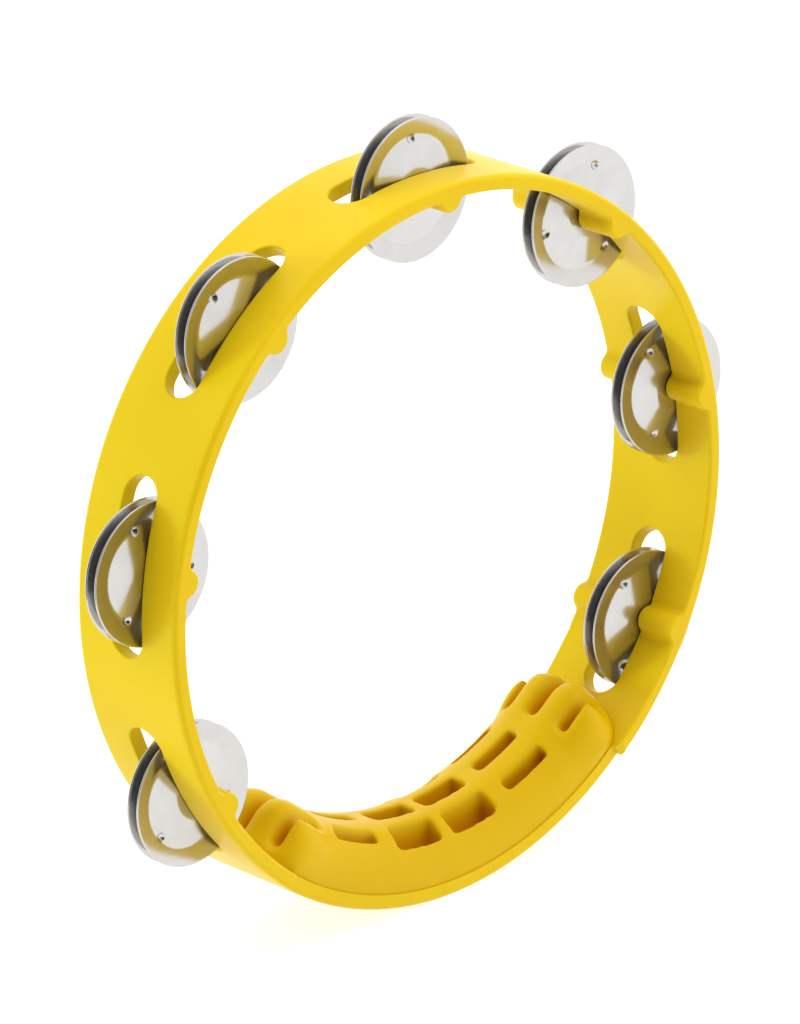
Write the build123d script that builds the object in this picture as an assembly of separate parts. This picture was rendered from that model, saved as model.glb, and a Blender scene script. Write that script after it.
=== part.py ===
from build123d import *
from math import sqrt
import os

# A headless ring tambourine standing upright on its grip, in millimetres.
# The ring's axis lies along Y and its front faces -Y. The origin is on the floor under
# the middle of the ring, so the ring's centre is one outer radius above it.
# Angles round the ring are in degrees from +X towards +Z, so the grip is at 270.

# Band
RING_RADIUS = 101.5          # outer, a nominal 8 inch size
RING_WIDTH = 37.8            # along Y
WALL = 4.35                  # radial thickness
OUTER_EDGE_ROUNDING = 1.5
INNER_EDGE_ROUNDING = 0.8

# Slots and the bosses that carry the pins
JINGLE_COUNT = 7
JINGLE_STEP = 40.0           # degrees from one slot to the next
FIRST_JINGLE_ANGLE = 210.0   # lower left, and the rest follow clockwise from the front
PIN_CIRCLE = 97.5            # radius at which the pins lie
SLOT_LENGTH = 48.3           # end to end
SLOT_WIDTH = 12.0            # along Y
SLOT_EDGE_ROUNDING = 0.6
BOSS_RADIUS = 3.9
BOSS_FOOT_BLEND = 2.0        # concave radius where a boss meets the band
BOSS_FOOT_SINK = 0.02        # how far the foot's edges lie under the band's surface
BOSS_SLOT_ROUNDING = 1.4     # of the end beside the slot

# Jingles: pressed discs, two on each pin. The outer flange slopes back from the rim to a
# valley, and a cone rises from the valley to a flat hub in front of the rim.
JINGLE_RADIUS = 19.75
JINGLE_SHEET = 0.5           # thickness
JINGLE_VALLEY_RADIUS = 14.5
JINGLE_VALLEY_DEPTH = 1.25   # behind the rim
JINGLE_HUB_RADIUS = 6.2
JINGLE_HUB_RISE = 0.8        # in front of the rim
JINGLE_HOLE_RADIUS = 1.8
DIMPLE_COUNT = 3
DIMPLE_CIRCLE = 13.9
DIMPLE_BALL_RADIUS = 1.5
DIMPLE_DEPTH = 0.8
FRONT_RIM_Y = -4.9           # middle of the sheet at the front jingle's rim
VALLEY_GAP = 0.6             # the dimples hold a pair's valleys this far apart
FRONT_TURNS = (100.0, 112.0, 9.0, 91.0, 68.0, 4.0, 119.0)   # how each has come to rest
BACK_TURN = 47.0             # from a front jingle to the back one on its pin

# Pins, pressed in from the back
PIN_RADIUS = 1.1
PIN_FRONT_Y = -16.0          # blind end of the pin's hole
PIN_BACK_INSET = 0.5         # below the back rim
PIN_CLEARANCE = 0.05         # between a pin and the top of the hole that hangs on it

# Grip: a cored moulding seated on the inside of the band
STEP_ANGLE = 38.0            # the rims step in this far either side of the bottom
RIM_STEP = 2.05
GRIP_HALF_WIDTH = 16.5
GRIP_CREST_RADIUS = 80.2     # from the ring's axis
GRIP_CROWN = 13.5            # rounding of the two edges beside the crest
GRIP_END_ANGLE = 44.0        # either side of the bottom
GRIP_NOSE_ROUNDING = 8.0     # of each end towards the crest
GRIP_END_RADIUS = 19.5       # of each end, seen towards the ring's axis
POCKET_FLOOR_RADIUS = 93.6
INNER_POCKETS = (1.5, 12.4)  # first and last angle, either side of the bottom
OUTER_POCKETS = (17.0, 28.3)
END_GROOVE_START = 33.4
INNER_ROWS = ((-13.5, -7.4), (-3.1, 3.1), (7.4, 13.5))      # along Y
OUTER_ROWS = ((-11.9, -8.5), (-1.9, 1.9), (8.5, 11.9))

BOTTOM = 270.0               # the angle of the ring's lowest place
FULL_TURN = 360.0
OVERSHOOT = 5.0              # how far a cutting tool runs past what it cuts
TOLERANCE = 0.01

# Worked out from the above
band_inner_radius = RING_RADIUS - WALL
rim_y = RING_WIDTH / 2
stepped_rim_y = rim_y - RIM_STEP
slot_y = SLOT_WIDTH / 2
boss_length = rim_y - slot_y
hang_drop = JINGLE_HOLE_RADIUS - PIN_RADIUS - PIN_CLEARANCE
back_rim_y = FRONT_RIM_Y + 2 * JINGLE_VALLEY_DEPTH + JINGLE_SHEET + VALLEY_GAP
jingle_angles = [FIRST_JINGLE_ANGLE - JINGLE_STEP * k for k in range(JINGLE_COUNT)]


def on_ring(angle, radius=0.0, y=0.0):
    """A place whose X points away from the ring's axis and whose Z follows the angle."""
    return Pos(0, 0, RING_RADIUS) * Rot(0, -angle, 0) * Pos(radius, y, 0)


def band(radii, ys, angles, outer_rounding=0.0, inner_rounding=0.0):
    """A rectangle of the given radii and Ys, swept round the ring between two angles."""
    r_low, r_high = radii
    y_low, y_high = ys
    first, last = angles
    middle = Pos((r_low + r_high) / 2, (y_low + y_high) / 2)
    section = middle * Rectangle(r_high - r_low, y_high - y_low)
    corners = section.vertices().group_by(Axis.X)
    if outer_rounding:
        section = fillet(corners[-1], outer_rounding)
    if inner_rounding:
        inner_corners = section.vertices().group_by(Axis.X)[0]
        section = fillet(inner_corners, inner_rounding)
    return on_ring(first) * revolve(section, Axis.Y, first - last)


def rim_end_tool(side, end):
    """Rounds off the end of a full-width rim where it steps in beside the grip."""
    block = Box(4 * WALL, 2 * RIM_STEP, 2 * RIM_STEP)
    centre = Pos(0, -side * RIM_STEP, end * RIM_STEP)
    block -= centre * Rot(0, 90, 0) * Cylinder(RIM_STEP, 5 * WALL)
    return on_ring(BOTTOM + end * STEP_ANGLE, RING_RADIUS - WALL / 2, side * rim_y) * block


def slot_tool(angle):
    """A round-ended slot cut straight through the band."""
    outline = SlotOverall(SLOT_LENGTH, SLOT_WIDTH)
    depth = WALL + 2 * OVERSHOOT
    outwards = Rot(0, 90, 0)
    return on_ring(angle, band_inner_radius - OVERSHOOT) * outwards * extrude(outline, depth)


def boss_profile():
    """A boss and its foot seen along Y, about the pin's axis. X points away from the ring's axis."""
    reach = BOSS_RADIUS + BOSS_FOOT_BLEND
    foot_circle = band_inner_radius + BOSS_FOOT_SINK
    blend_circle = foot_circle - BOSS_FOOT_BLEND
    blend_x = (blend_circle ** 2 - PIN_CIRCLE ** 2 - reach ** 2) / (2 * PIN_CIRCLE)
    blend_y = sqrt(reach ** 2 - blend_x ** 2)
    boss_x = blend_x * BOSS_RADIUS / reach
    foot_x = RING_RADIUS - WALL / 2 - PIN_CIRCLE
    foot_y = blend_y * foot_circle / blend_circle
    foot = Pos((boss_x + foot_x) / 2, 0) * Rectangle(foot_x - boss_x, 2 * foot_y)
    for side in (-1, 1):
        foot -= Pos(blend_x, side * blend_y) * Circle(BOSS_FOOT_BLEND)
    beyond_foot = Pos(foot_x + BOSS_RADIUS, 0) * Rectangle(2 * BOSS_RADIUS, 2 * BOSS_RADIUS)
    return foot + (Circle(BOSS_RADIUS) - beyond_foot)


def make_boss():
    """The front boss of a slot, from the slot's edge to the rim, about the pin's axis."""
    boss = Pos(0, -slot_y) * Rot(90, 0, 0) * extrude(boss_profile(), boss_length)
    for end, rounding in ((-1, BOSS_SLOT_ROUNDING), (0, INNER_EDGE_ROUNDING)):
        end_face = boss.faces().sort_by(Axis.Y)[end]
        boss = fillet(end_face.edges().filter_by(GeomType.CIRCLE), rounding)
    return boss


def slot_edges(ring):
    """The edges that the slots leave in the outside and the inside of the band."""
    def is_slot_edge(edge):
        furthest_y = max(abs(corner.Y) for corner in edge.vertices())
        return furthest_y <= slot_y + TOLERANCE and edge.length > SLOT_WIDTH

    return ring.edges().filter_by(is_slot_edge)


def make_ring():
    wide = (BOTTOM + STEP_ANGLE - FULL_TURN, BOTTOM - STEP_ANGLE)
    narrow = (BOTTOM - STEP_ANGLE, BOTTOM + STEP_ANGLE)
    radii = (band_inner_radius, RING_RADIUS)
    ring = band(radii, (-rim_y, rim_y), wide, OUTER_EDGE_ROUNDING, INNER_EDGE_ROUNDING)
    ring += band(radii, (-stepped_rim_y, stepped_rim_y), narrow, OUTER_EDGE_ROUNDING)
    for side in (-1, 1):
        for end in (-1, 1):
            ring -= rim_end_tool(side, end)
    for angle in jingle_angles:
        ring -= slot_tool(angle)
    ring = fillet(slot_edges(ring), SLOT_EDGE_ROUNDING)
    boss = make_boss()
    hole_back_y = rim_y + OVERSHOOT
    pin_hole = Rot(90, 0, 0) * Cylinder(PIN_RADIUS, hole_back_y - PIN_FRONT_Y)
    for angle in jingle_angles:
        ring += on_ring(angle, PIN_CIRCLE) * boss
        ring += on_ring(angle, PIN_CIRCLE) * mirror(boss, Plane.XZ)
        ring -= on_ring(angle, PIN_CIRCLE, (hole_back_y + PIN_FRONT_Y) / 2) * pin_hole
    return ring


def make_pin():
    """One pin about the middle of its length, along Y."""
    length = rim_y - PIN_BACK_INSET - PIN_FRONT_Y
    return Pos(0, PIN_FRONT_Y + length / 2, 0) * Rot(90, 0, 0) * Cylinder(PIN_RADIUS, length)


def make_jingle():
    """A front jingle about its own axis: the rim's middle at Y 0 and the valley towards +Y."""
    half = JINGLE_SHEET / 2
    line = (
        (JINGLE_HOLE_RADIUS, -JINGLE_HUB_RISE),
        (JINGLE_HUB_RADIUS, -JINGLE_HUB_RISE),
        (JINGLE_VALLEY_RADIUS, JINGLE_VALLEY_DEPTH),
        (JINGLE_RADIUS, 0.0),
    )
    front = [(r, y - half) for r, y in line]
    back = [(r, y + half) for r, y in reversed(line)]
    disc = revolve(make_face(Polyline(*front, *back, close=True)), Axis.Y, FULL_TURN)
    cone_slope = (JINGLE_VALLEY_DEPTH + JINGLE_HUB_RISE) / (JINGLE_VALLEY_RADIUS - JINGLE_HUB_RADIUS)
    sheet_y = JINGLE_VALLEY_DEPTH - (JINGLE_VALLEY_RADIUS - DIMPLE_CIRCLE) * cone_slope
    ball = Pos(0, DIMPLE_DEPTH - DIMPLE_BALL_RADIUS, 0) * Sphere(DIMPLE_BALL_RADIUS)
    behind_sheet = Pos(0, DIMPLE_BALL_RADIUS, 0) * Box(*[2 * DIMPLE_BALL_RADIUS] * 3)
    bump = (Pos(0, half, 0) * ball) & behind_sheet
    places = [
        Rot(0, -k * FULL_TURN / DIMPLE_COUNT, 0) * Pos(DIMPLE_CIRCLE, sheet_y, 0)
        for k in range(DIMPLE_COUNT)
    ]
    for place in places:
        disc += place * bump
    for place in places:
        disc -= place * Pos(0, -half, 0) * ball
    return disc


def grip_end_tool(end):
    """Cuts one end of the grip to a rounded outline, seen towards the ring's axis."""
    reach = 2 * GRIP_END_RADIUS
    block = Pos(0, 0, end * reach / 2) * Box(reach, 2 * reach, reach)
    block -= Rot(0, 90, 0) * Cylinder(GRIP_END_RADIUS, 2 * reach)
    start = Pos(0, 0, -end * GRIP_END_RADIUS)
    return on_ring(BOTTOM + end * GRIP_END_ANGLE, band_inner_radius) * start * block


def grip_side_outline():
    """The grip seen along Y: a ring sector with its two inner corners rounded."""
    ends = (BOTTOM - GRIP_END_ANGLE, BOTTOM + GRIP_END_ANGLE)
    sector = band((GRIP_CREST_RADIUS, band_inner_radius), (-rim_y, rim_y), ends)
    inner_corners = sector.edges().filter_by(Axis.Y).group_by(
        lambda e: (e.center() - Vector(0, 0, RING_RADIUS)).length
    )[0]
    return fillet(inner_corners, GRIP_NOSE_ROUNDING)


def make_grip():
    ends = (BOTTOM - GRIP_END_ANGLE, BOTTOM + GRIP_END_ANGLE)
    ys = (-GRIP_HALF_WIDTH, GRIP_HALF_WIDTH)
    grip = band((GRIP_CREST_RADIUS, band_inner_radius), ys, ends, inner_rounding=GRIP_CROWN)
    grip = grip & grip_side_outline()
    cutter_radii = (GRIP_CREST_RADIUS - OVERSHOOT, POCKET_FLOOR_RADIUS)
    end_groove = (END_GROOVE_START, GRIP_END_ANGLE + OVERSHOOT)
    pocket_groups = ((INNER_POCKETS, INNER_ROWS), (OUTER_POCKETS, OUTER_ROWS), (end_groove, OUTER_ROWS))
    for end in (-1, 1):
        grip -= grip_end_tool(end)
        for span, rows in pocket_groups:
            angles = sorted(BOTTOM + end * offset for offset in span)
            for row in rows:
                grip -= band(cutter_radii, row, angles)
    return grip


def jingle_place(angle, y):
    """Where a jingle's axis hangs: its hole rests on the pin, so it drops a little."""
    return Pos(0, 0, -hang_drop) * on_ring(angle, PIN_CIRCLE, y) * Rot(0, angle, 0)


parts = {"ring": make_ring(), "grip": make_grip()}
pin = make_pin()
jingle = make_jingle()
for number, angle in enumerate(jingle_angles, start=1):
    front_turn = FRONT_TURNS[number - 1]
    parts[f"pin_{number}"] = on_ring(angle, PIN_CIRCLE) * pin
    front = jingle_place(angle, FRONT_RIM_Y) * Rot(0, -front_turn, 0) * jingle
    back = jingle_place(angle, back_rim_y) * Rot(0, -front_turn - BACK_TURN, 0)
    parts[f"front_jingle_{number}"] = front
    parts[f"back_jingle_{number}"] = back * Rot(180, 0, 0) * jingle

os.makedirs("parts", exist_ok=True)
for name, shape in parts.items():
    export_step(shape, f"parts/{name}.step")
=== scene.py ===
"""A headless ring tambourine's looks, round its CAD model. Metres, +Z up, the front faces -Y."""
import math

import bpy
import numpy as np
from mathutils import Matrix, Vector


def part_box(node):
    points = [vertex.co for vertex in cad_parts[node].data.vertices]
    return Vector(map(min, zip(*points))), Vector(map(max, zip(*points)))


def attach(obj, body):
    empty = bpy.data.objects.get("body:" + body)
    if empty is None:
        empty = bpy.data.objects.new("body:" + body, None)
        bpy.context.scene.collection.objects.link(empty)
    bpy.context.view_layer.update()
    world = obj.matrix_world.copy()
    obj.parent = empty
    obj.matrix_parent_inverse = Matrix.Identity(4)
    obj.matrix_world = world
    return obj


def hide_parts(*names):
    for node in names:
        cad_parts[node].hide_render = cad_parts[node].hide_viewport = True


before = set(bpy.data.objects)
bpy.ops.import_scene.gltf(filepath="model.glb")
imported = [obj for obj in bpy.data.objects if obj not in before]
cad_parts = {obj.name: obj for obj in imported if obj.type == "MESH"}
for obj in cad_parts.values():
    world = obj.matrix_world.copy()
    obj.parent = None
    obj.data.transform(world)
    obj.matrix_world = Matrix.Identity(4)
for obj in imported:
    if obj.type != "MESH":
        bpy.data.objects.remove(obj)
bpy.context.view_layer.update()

MM = 0.001

# The ring, from the frame
ring_low, ring_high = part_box("ring")
ring_centre = (ring_high + ring_low) / 2
grip_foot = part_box("grip")[0].z
band_inner_radius = ring_centre.z - grip_foot

# Jingles: the sheet's profile is given as radius and depth behind the rim
JINGLE_RADIUS = 19.75 * MM
SHEET = 0.5 * MM
VALLEY_RADIUS = 14.5 * MM
VALLEY_DEPTH = 1.25 * MM
HUB_RADIUS = 6.2 * MM
HUB_DEPTH = -0.8 * MM
HOLE_RADIUS = 1.8 * MM
FOLD_REACH = 0.7 * MM        # how far a fold's rounding runs either side of it
FOLD_STEPS = 6
EDGE_STEPS = 4               # round the half circle of the sheet's edge
PROFILE_STEP = 0.28 * MM
JINGLE_SEGMENTS = 288
DIMPLE_COUNT = 3
DIMPLE_CIRCLE = 13.9 * MM
DIMPLE_RADIUS = 1.35 * MM
DIMPLE_DEPTH = 0.8 * MM
DIMPLE_FULLNESS = 0.8        # 1 is a parabola, and less is steeper at the edge
GAP_SHADE_REACH = 4 * MM       # painted shade: the plate is painted dark where another surface is this near
FRONT_TURNS = (100, 112, 9, 91, 68, 4, 119)   # degrees that each jingle has turned to
BACK_TURN = 47               # from a front jingle to the back one on its pin

# Grip
GRIP_CREST_RADIUS = 80.2 * MM     # from the ring's axis
GRIP_VOXEL = 0.55 * MM
GRIP_SOFTENING = 14          # smoothing passes over the whole moulding
LOBE_SOFTENING = 80          # more of them over its ends
LOBE_START = 31.0            # degrees from the bottom
LOBE_END = 36.0
SEAT_START = 95.5 * MM       # from the ring's axis: the grip's foot, from here outwards, is
SEAT_SINK = 1.2 * MM         # drawn into the band, so that they meet in a clean line
RECESS_SHADE_REACH = 12 * MM       # painted shade: the plastic is painted a deeper orange where its own walls are this near
LOBE_SWELL = 0.8 * MM        # what the smoothing of the lobes takes off, put on before
LOBE_LIFT = 3.6 * MM         # the outer lobes stand this much prouder than the CAD's crown
LIFT_START = 11.0 * MM       # off the grip's middle plane, where that lift begins
LIFT_END = 16.0 * MM

# Camera, seen from the ring's centre
CAMERA_OFFSET = Vector((-1.1932, -1.2560, 0.6765))
CAMERA_FORWARD = Vector((0.64135, 0.67679, -0.36142))
CAMERA_RIGHT = Vector((0.72076, -0.69294, -0.01858))
FOCAL_LENGTH = 244.3
SENSOR = 36.0
CLIP = (0.05, 50.0)

# Studio
FLOOR_SIZE = 8.0
FLOOR_GREY = 0.45
FLOOR_GLOW = 0.75            # the floor's own light, which keeps it pale
FLAG_SIZE = (0.22, 0.20)     # the black card, across and up
FLAG_DISTANCE = 0.27         # from the ring's axis towards the camera
FLAG_HEIGHT = 0.10
WORLD_STRENGTH = 1.4
PATCH_EDGE = 62.0            # degrees off the camera's direction where the world starts to darken
PATCH_CORE = 14.0            # and where it is darkest
PATCH_LEVEL = 0.04

# The Mix node's colour sockets, by their place among its inputs and outputs
MIX_FIRST = 6
MIX_SECOND = 7
MIX_RESULT = 2


class Nodes:
    """Short calls for building a material's nodes."""

    def __init__(self, tree):
        self.tree = tree

    def add(self, kind, values=(), **settings):
        node = self.tree.nodes.new(kind)
        for name, value in settings.items():
            setattr(node, name, value)
        for name, value in dict(values).items():
            node.inputs[name].default_value = value
        return node

    def link(self, output, socket):
        self.tree.links.new(output, socket)

    def noise(self, vector, scale, detail=2.0):
        node = self.add("ShaderNodeTexNoise", {"Scale": scale, "Detail": detail})
        self.link(vector, node.inputs["Vector"])
        return node.outputs["Fac"]

    def spread(self, value, low, high, start=0.3, end=0.7):
        """Maps start..end of a value onto low..high."""
        limits = {"From Min": start, "From Max": end, "To Min": low, "To Max": high}
        node = self.add("ShaderNodeMapRange", limits)
        self.link(value, node.inputs["Value"])
        return node.outputs["Result"]

    def openness(self, reach, own_piece=True):
        """1 where nothing stands within reach of the surface, less in gaps and pockets."""
        node = self.add("ShaderNodeAmbientOcclusion", {"Distance": reach}, samples=8)
        node.only_local = own_piece
        return node.outputs["AO"]

    def mix(self, factor, first, second):
        """Blends two colours, each a tuple or another node's output."""
        node = self.add("ShaderNodeMix", data_type="RGBA")
        self.link(factor, node.inputs["Factor"])
        for place, color in ((MIX_FIRST, first), (MIX_SECOND, second)):
            if isinstance(color, tuple):
                node.inputs[place].default_value = (*color, 1)
            else:
                self.link(color, node.inputs[place])
        return node.outputs[MIX_RESULT]

    def bump(self, height, strength, distance):
        node = self.add("ShaderNodeBump", {"Strength": strength, "Distance": distance})
        self.link(height, node.inputs["Height"])
        return node.outputs["Normal"]


def new_material(name, **values):
    """A material, its shader with the given values, its nodes, and the place on the object."""
    material = bpy.data.materials.new(name)
    material.use_nodes = True
    shader = material.node_tree.nodes["Principled BSDF"]
    for socket, value in values.items():
        shader.inputs[socket.replace("_", " ")].default_value = value
    nodes = Nodes(material.node_tree)
    place = nodes.add("ShaderNodeTexCoord").outputs["Object"]
    return material, shader, nodes, place


def moulded_plastic(name, deep, pale, recess_shade):
    """Satin plastic with painted shade, a deeper orange in cavities, uneven in gloss, with a fine
    orange peel.
    """
    material, shader, nodes, place = new_material(name, IOR=1.5, Specular_IOR_Level=0.1)
    drift = nodes.spread(nodes.noise(place, scale=28, detail=3), 0, 1)
    outside = nodes.mix(drift, deep, pale)
    # painted shade: the base colour turns to the recess colour where the piece's own walls are
    # near
    openness = nodes.spread(nodes.openness(RECESS_SHADE_REACH), 0, 1, start=0.05, end=0.7)
    nodes.link(nodes.mix(openness, recess_shade, outside), shader.inputs["Base Color"])
    gloss = nodes.noise(place, scale=160, detail=4)
    nodes.link(nodes.spread(gloss, 0.29, 0.38), shader.inputs["Roughness"])
    peel = nodes.noise(place, scale=900, detail=2)
    nodes.link(nodes.bump(peel, strength=0.1, distance=0.03 * MM), shader.inputs["Normal"])
    return material


def nickel_plate(name):
    """Nickel plate with faint turning rings and a thin haze, and painted shade darkening it
    between two discs.
    """
    material, shader, nodes, place = new_material(name, Metallic=1.0)
    shader.inputs["Coat Weight"].default_value = 1.0
    shader.inputs["Coat Roughness"].default_value = 0.55
    shader.inputs["Coat IOR"].default_value = 1.7
    across = nodes.add("ShaderNodeVectorMath", operation="MULTIPLY")
    across.inputs[1].default_value = (1, 0, 1)
    nodes.link(place, across.inputs[0])
    radius = nodes.add("ShaderNodeVectorMath", operation="LENGTH")
    nodes.link(across.outputs["Vector"], radius.inputs[0])
    along = nodes.add("ShaderNodeCombineXYZ")
    nodes.link(radius.outputs["Value"], along.inputs["X"])
    rings = nodes.noise(along.outputs["Vector"], scale=2600, detail=2)
    cloud = nodes.noise(place, scale=220, detail=3)
    clean = nodes.mix(nodes.spread(cloud, 0, 1), (0.50, 0.49, 0.478), (0.53, 0.518, 0.503))
    # painted shade: near black in the gap between two discs and wherever another surface is near
    painted_gap_shade = (0.09, 0.076, 0.065)
    openness = nodes.openness(GAP_SHADE_REACH, own_piece=False)
    openness = nodes.spread(openness, 0, 1, start=0.15, end=0.5)
    nodes.link(nodes.mix(openness, painted_gap_shade, clean), shader.inputs["Base Color"])
    worn = nodes.add("ShaderNodeMath", operation="ADD")
    nodes.link(nodes.spread(rings, 0.0, 0.03), worn.inputs[0])
    nodes.link(nodes.spread(cloud, 0.10, 0.15), worn.inputs[1])
    nodes.link(worn.outputs["Value"], shader.inputs["Roughness"])
    nodes.link(nodes.bump(rings, strength=0.05, distance=0.02 * MM), shader.inputs["Normal"])
    return material


def drawn_steel(name):
    """Drawn wire: streaks along its length, which lies along Y."""
    material, shader, nodes, place = new_material(name, Metallic=1.0)
    along = nodes.add("ShaderNodeMapping", {"Scale": (1, 0.03, 1)})
    nodes.link(place, along.inputs["Vector"])
    streaks = nodes.noise(along.outputs["Vector"], scale=3000, detail=2)
    tint = nodes.mix(streaks, (0.42, 0.42, 0.41), (0.60, 0.60, 0.58))
    nodes.link(tint, shader.inputs["Base Color"])
    nodes.link(nodes.spread(streaks, 0.22, 0.38), shader.inputs["Roughness"])
    return material


# Each plastic's third colour is painted shade for its pockets and recesses.
band_yellow = moulded_plastic(
    "band_yellow", deep=(0.71, 0.475, 0.003), pale=(0.75, 0.515, 0.005), recess_shade=(0.70, 0.38, 0.0)
)
grip_yellow = moulded_plastic(
    "grip_yellow", deep=(0.64, 0.40, 0.001), pale=(0.68, 0.43, 0.002), recess_shade=(0.76, 0.34, 0.0)
)
nickel = nickel_plate("jingle_nickel")
steel = drawn_steel("pin_steel")


def paint(node, material):
    """Gives a CAD node a better material."""
    for material_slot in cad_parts[node].material_slots:
        material_slot.link = "OBJECT"
        material_slot.material = material


def new_piece(name, mesh, material, body, node, place=(0, 0, 0)):
    """A smooth piece that rides on a body, stands for a CAD node and takes the given material."""
    mesh.materials.clear()
    mesh.materials.append(material)
    mesh.polygons.foreach_set("use_smooth", [True] * len(mesh.polygons))
    piece = bpy.data.objects.new(name, mesh)
    piece.location = place
    bpy.context.scene.collection.objects.link(piece)
    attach(piece, body)
    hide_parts(node)
    return piece


def jingle_profile():
    """The middle line of the sheet from hole to rim, with its folds rounded."""
    hole = Vector((HOLE_RADIUS + SHEET / 2, HUB_DEPTH))
    hub = Vector((HUB_RADIUS, HUB_DEPTH))
    valley = Vector((VALLEY_RADIUS, VALLEY_DEPTH))
    rim = Vector((JINGLE_RADIUS - SHEET / 2, 0.0))
    corners = [hole]
    for before, fold, after in ((hole, hub, valley), (hub, valley, rim)):
        start = fold + (before - fold).normalized() * FOLD_REACH
        end = fold + (after - fold).normalized() * FOLD_REACH
        for step in range(FOLD_STEPS + 1):
            t = step / FOLD_STEPS
            corners.append(start * (1 - t) ** 2 + fold * 2 * t * (1 - t) + end * t ** 2)
    corners.append(rim)
    line = []
    for a, b in zip(corners, corners[1:]):
        pieces = max(1, round((b - a).length / PROFILE_STEP))
        line += [a.lerp(b, k / pieces) for k in range(pieces)]
    return line + [rim]


def sheet_outline():
    """The sheet's section as a closed loop of (radius, depth), with both edges rounded."""
    line = jingle_profile()
    half = SHEET / 2
    loop = [(p.x, p.y - half) for p in line]
    for end, start_angle in ((line[-1], -90), (line[0], 90)):
        for step in range(1, EDGE_STEPS):
            angle = math.radians(start_angle + 180 * step / EDGE_STEPS)
            loop.append((end.x + half * math.cos(angle), end.y + half * math.sin(angle)))
        if end is line[-1]:
            loop += [(p.x, p.y + half) for p in reversed(line)]
    return np.array(loop)


def dimples(x, z):
    """How much deeper the sheet is for its three punched dimples."""
    deeper = np.zeros_like(x)
    for k in range(DIMPLE_COUNT):
        angle = 2 * math.pi * k / DIMPLE_COUNT
        away = np.hypot(x - DIMPLE_CIRCLE * math.cos(angle), z - DIMPLE_CIRCLE * math.sin(angle))
        inside = np.clip(1 - (away / DIMPLE_RADIUS) ** 2, 0, 1)
        deeper += DIMPLE_DEPTH * inside ** DIMPLE_FULLNESS
    return deeper


def jingle_mesh():
    """One jingle about its own middle: X and Z across it, its rim at Y 0, its valley at +Y."""
    radii, depths = sheet_outline().T
    angles = np.linspace(0, 2 * math.pi, JINGLE_SEGMENTS, endpoint=False)[:, None]
    x = radii * np.cos(angles)
    z = radii * np.sin(angles)
    y = depths + dimples(x, z)
    points = np.stack([x, y, z], axis=-1).reshape(-1, 3)
    count = len(radii)
    faces = []
    for i in range(JINGLE_SEGMENTS):
        here = i * count
        there = (i + 1) % JINGLE_SEGMENTS * count
        for k in range(count):
            m = (k + 1) % count
            faces.append((here + k, here + m, there + m, there + k))
    mesh = bpy.data.meshes.new("jingle")
    mesh.from_pydata(points.tolist(), [], faces)
    return mesh


def make_jingles():
    """A disc in the place of each CAD jingle, turned in its mesh, so that its box stays tight."""
    shared = jingle_mesh()
    for number, front_turn in enumerate(FRONT_TURNS, start=1):
        for side in ("front", "back"):
            node = f"{side}_jingle_{number}"
            low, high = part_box(node)
            place = (low + high) / 2
            turn = Matrix.Rotation(-math.radians(front_turn), 4, "Y")
            place.y = low.y + SHEET / 2 - HUB_DEPTH
            if side == "back":
                place.y = high.y - SHEET / 2 + HUB_DEPTH
                turn = Matrix.Rotation(-math.radians(front_turn + BACK_TURN), 4, "Y")
                turn = turn @ Matrix.Rotation(math.pi, 4, "X")
            mesh = shared.copy()
            mesh.transform(turn)
            new_piece(node + "_disc", mesh, nickel, node, node, place)


def ramp(value, start, end):
    """0 up to start, 1 from end on, and straight between them."""
    return min(max((value - start) / (end - start), 0.0), 1.0)


def soften(piece, passes, group=""):
    """Smooths a piece, or only a vertex group of it."""
    smooth = piece.modifiers.new("smooth", "SMOOTH")
    smooth.iterations = passes
    smooth.vertex_group = group


def bake_modifiers(piece):
    """Swaps a piece's mesh for what its modifiers make of it."""
    bpy.context.view_layer.update()
    evaluated = piece.evaluated_get(bpy.context.evaluated_depsgraph_get())
    mesh = bpy.data.meshes.new_from_object(evaluated)
    piece.modifiers.clear()
    piece.data = mesh


def shape_lobes(piece):
    """Makes the grip's outer lobes stand prouder, and marks all the lobes in a vertex group."""
    lobes = piece.vertex_groups.new(name="lobes")
    for vertex in piece.data.vertices:
        from_axis = vertex.co - ring_centre
        off_bottom = math.degrees(abs(math.atan2(from_axis.x, -from_axis.z)))
        weight = ramp(off_bottom, LOBE_START, LOBE_END)
        if weight == 0:
            continue
        lobes.add([vertex.index], weight, "REPLACE")
        outer = ramp(abs(vertex.co.y), LIFT_START, LIFT_END)
        height = ramp(math.hypot(from_axis.x, from_axis.z), band_inner_radius, GRIP_CREST_RADIUS)
        inwards = Vector((-from_axis.x, 0, -from_axis.z)).normalized()
        vertex.co += inwards * LOBE_LIFT * weight * outer * height


def seat_in_band(piece):
    """Draws the grip's foot into the band."""
    for vertex in piece.data.vertices:
        outwards = vertex.co - ring_centre
        outwards.y = 0
        seat = ramp(outwards.length, SEAT_START, band_inner_radius)
        vertex.co += outwards.normalized() * SEAT_SINK * seat


def make_grip():
    """The CAD grip with the soft edges and round-ended lobes of a moulding."""
    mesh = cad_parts["grip"].data.copy()
    piece = new_piece("grip_moulding", mesh, grip_yellow, "frame", "grip")
    remesh = piece.modifiers.new("remesh", "REMESH")
    remesh.mode = "VOXEL"
    remesh.voxel_size = GRIP_VOXEL
    remesh.use_smooth_shade = True
    bake_modifiers(piece)
    shape_lobes(piece)
    swell = piece.modifiers.new("swell", "DISPLACE")
    swell.strength = LOBE_SWELL
    swell.mid_level = 0
    swell.vertex_group = "lobes"
    soften(piece, GRIP_SOFTENING)
    soften(piece, LOBE_SOFTENING, "lobes")
    bake_modifiers(piece)
    seat_in_band(piece)


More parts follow.
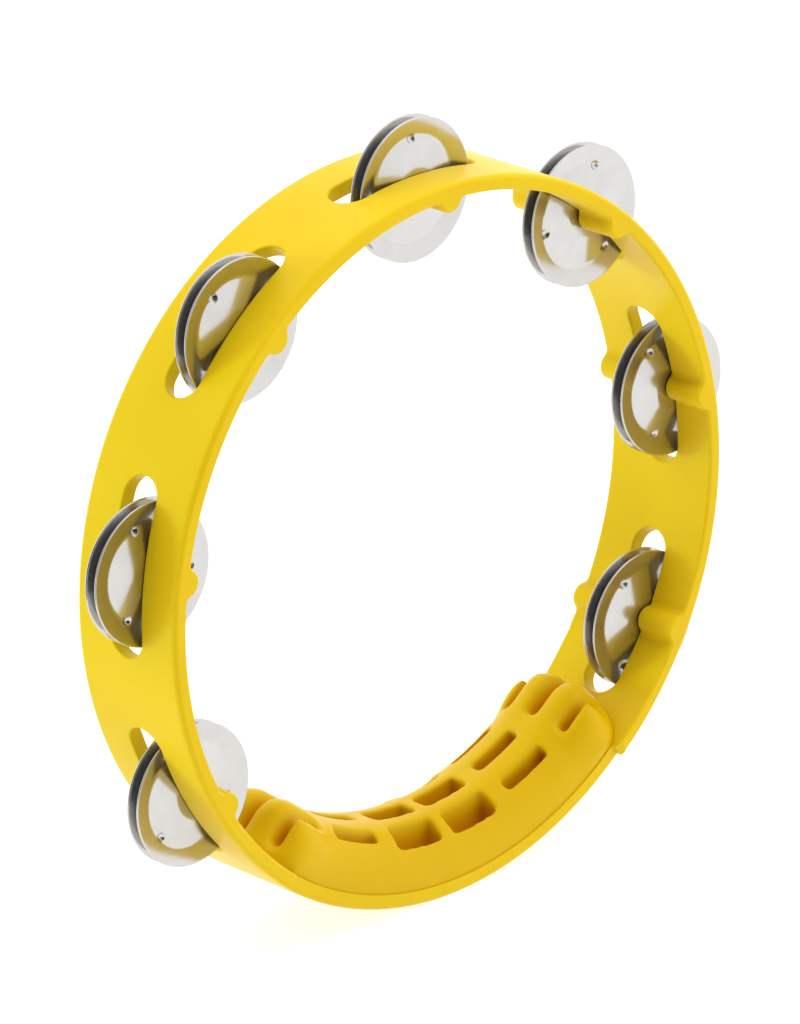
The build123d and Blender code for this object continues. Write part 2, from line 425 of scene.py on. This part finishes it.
def make_floor():
    bpy.ops.mesh.primitive_plane_add(size=FLOOR_SIZE, location=(0, 0, 0))
    floor = bpy.context.object
    floor.name = "floor"
    material, shader = new_material("floor_white", Roughness=0.7)[:2]
    shader.inputs["Base Color"].default_value = (FLOOR_GREY, FLOOR_GREY, FLOOR_GREY, 1)
    shader.inputs["Emission Color"].default_value = (1, 1, 1, 1)
    shader.inputs["Emission Strength"].default_value = FLOOR_GLOW
    floor.data.materials.append(material)


def make_flag():
    """A black card that only reflections see, to give the metal its dark accents."""
    bpy.ops.mesh.primitive_plane_add(size=1)
    flag = bpy.context.object
    flag.name = "flag"
    towards = Vector((CAMERA_OFFSET.x, CAMERA_OFFSET.y, 0)).normalized()
    facing = towards.to_track_quat("Z", "Y").to_matrix().to_4x4()
    place = Vector((0, 0, FLAG_HEIGHT)) + towards * FLAG_DISTANCE
    flag.matrix_world = Matrix.Translation(place) @ facing @ Matrix.Diagonal((*FLAG_SIZE, 1, 1))
    material, shader = new_material("flag_black", Roughness=1.0)[:2]
    shader.inputs["Base Color"].default_value = (0.004, 0.004, 0.004, 1)
    shader.inputs["Specular IOR Level"].default_value = 0.0
    flag.data.materials.append(material)
    flag.visible_camera = False
    flag.visible_diffuse = False
    flag.visible_shadow = False


def make_camera():
    data = bpy.data.cameras.new("camera")
    data.sensor_width = SENSOR
    data.lens = FOCAL_LENGTH
    data.clip_start, data.clip_end = CLIP
    camera = bpy.data.objects.new("camera", data)
    back = -CAMERA_FORWARD.normalized()
    up = back.cross(CAMERA_RIGHT).normalized()
    right = up.cross(back)
    rotation = Matrix((right, up, back)).transposed().to_4x4()
    camera.matrix_world = Matrix.Translation(ring_centre + CAMERA_OFFSET) @ rotation
    bpy.context.scene.collection.objects.link(camera)
    bpy.context.scene.camera = camera


def area_light(name, towards, distance, size, power, color=(1, 1, 1)):
    """A soft light in a direction from the ring's centre, which reflections don't show."""
    data = bpy.data.lights.new(name, "AREA")
    data.energy = power
    data.size = size
    data.color = color
    light = bpy.data.objects.new(name, data)
    direction = Vector(towards).normalized()
    light.location = ring_centre + direction * distance
    light.rotation_mode = "QUATERNION"
    light.rotation_quaternion = direction.to_track_quat("Z", "Y")
    light.visible_glossy = False
    bpy.context.scene.collection.objects.link(light)


def make_world():
    """White all round, but for a dark patch behind the camera, which no camera ray sees."""
    world = bpy.data.worlds.new("world")
    world.use_nodes = True
    nodes = Nodes(world.node_tree)
    background = world.node_tree.nodes["Background"]
    background.inputs["Strength"].default_value = WORLD_STRENGTH
    direction = nodes.add("ShaderNodeTexCoord").outputs["Generated"]
    facing = nodes.add("ShaderNodeVectorMath", operation="DOT_PRODUCT")
    facing.inputs[1].default_value = CAMERA_OFFSET.normalized()
    nodes.link(direction, facing.inputs[0])
    edge, core = (math.cos(math.radians(angle)) for angle in (PATCH_EDGE, PATCH_CORE))
    patch = nodes.spread(facing.outputs["Value"], 1.0, PATCH_LEVEL, start=edge, end=core)
    seen = nodes.add("ShaderNodeLightPath").outputs["Is Camera Ray"]
    white = nodes.add("ShaderNodeMath", operation="MAXIMUM")
    nodes.link(patch, white.inputs[0])
    nodes.link(seen, white.inputs[1])
    nodes.link(white.outputs["Value"], background.inputs["Color"])
    bpy.context.scene.world = world


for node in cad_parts:
    if node == "ring":
        paint(node, band_yellow)
    elif node.startswith("pin"):
        paint(node, steel)
make_grip()
make_jingles()

make_floor()
make_flag()
make_camera()
make_world()
area_light("key", (-0.78, 0.63, 0.05), distance=1.6, size=0.3, power=7, color=(0.6, 1.0, 0.6))
area_light("top", (0.25, -0.3, 1.0), distance=1.1, size=0.8, power=5)
bpy.context.scene.view_settings.view_transform = "Standard"
